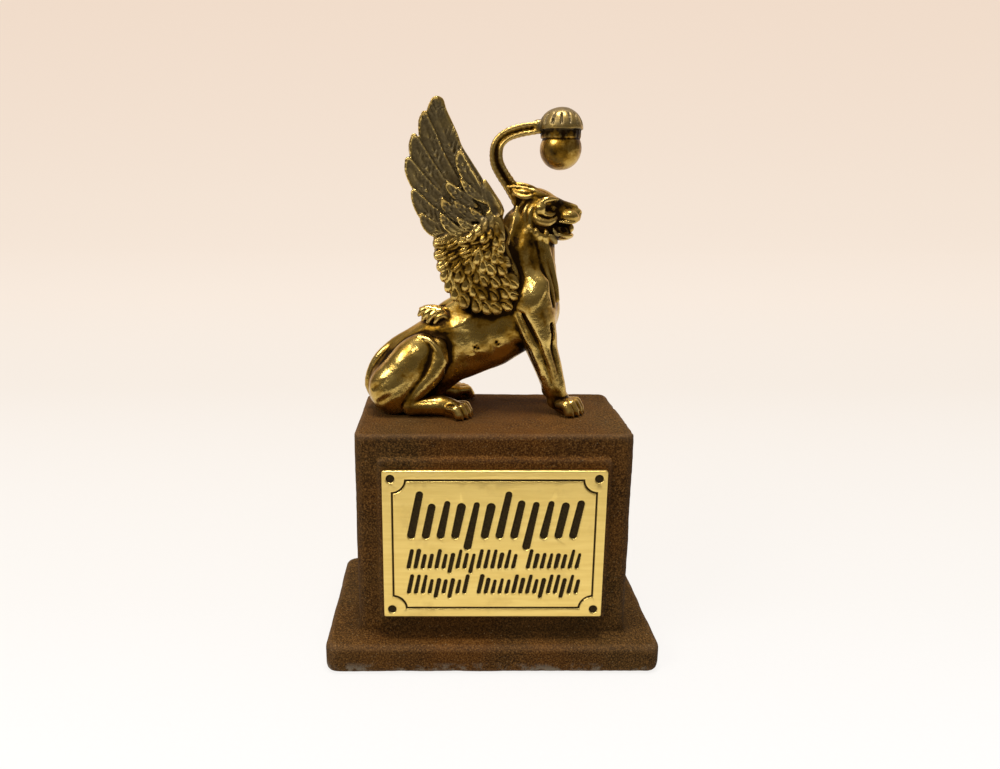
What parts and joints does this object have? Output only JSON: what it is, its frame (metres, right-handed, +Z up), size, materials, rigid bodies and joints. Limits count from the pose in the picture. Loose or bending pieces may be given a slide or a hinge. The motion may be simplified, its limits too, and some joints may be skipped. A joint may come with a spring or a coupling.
{
  "type": "griffin statuette",
  "caption": "Small cast-brass seated griffin holding a lamp on a curled bracket, on a cast-stone plinth with a brass nameplate.",
  "frame": {"origin": "centre of the plinth's underside", "axes": "+Z up, the nameplate faces -Y, the griffin looks along +X"},
  "size_m": [0.062, 0.037, 0.1025],
  "materials": {
    "griffin_brass": "antiqued cast brass, polished high spots and dark patina in the recesses",
    "plinth_stone": "grainy mottled red-brown cast stone",
    "nameplate_brass": "satin sheet brass with dark-filled engraving"
  },
  "bodies": {
    "root": {"griffin": "griffin_brass", "plinth": "plinth_stone", "nameplate": "nameplate_brass"}
  },
  "joints": []
}
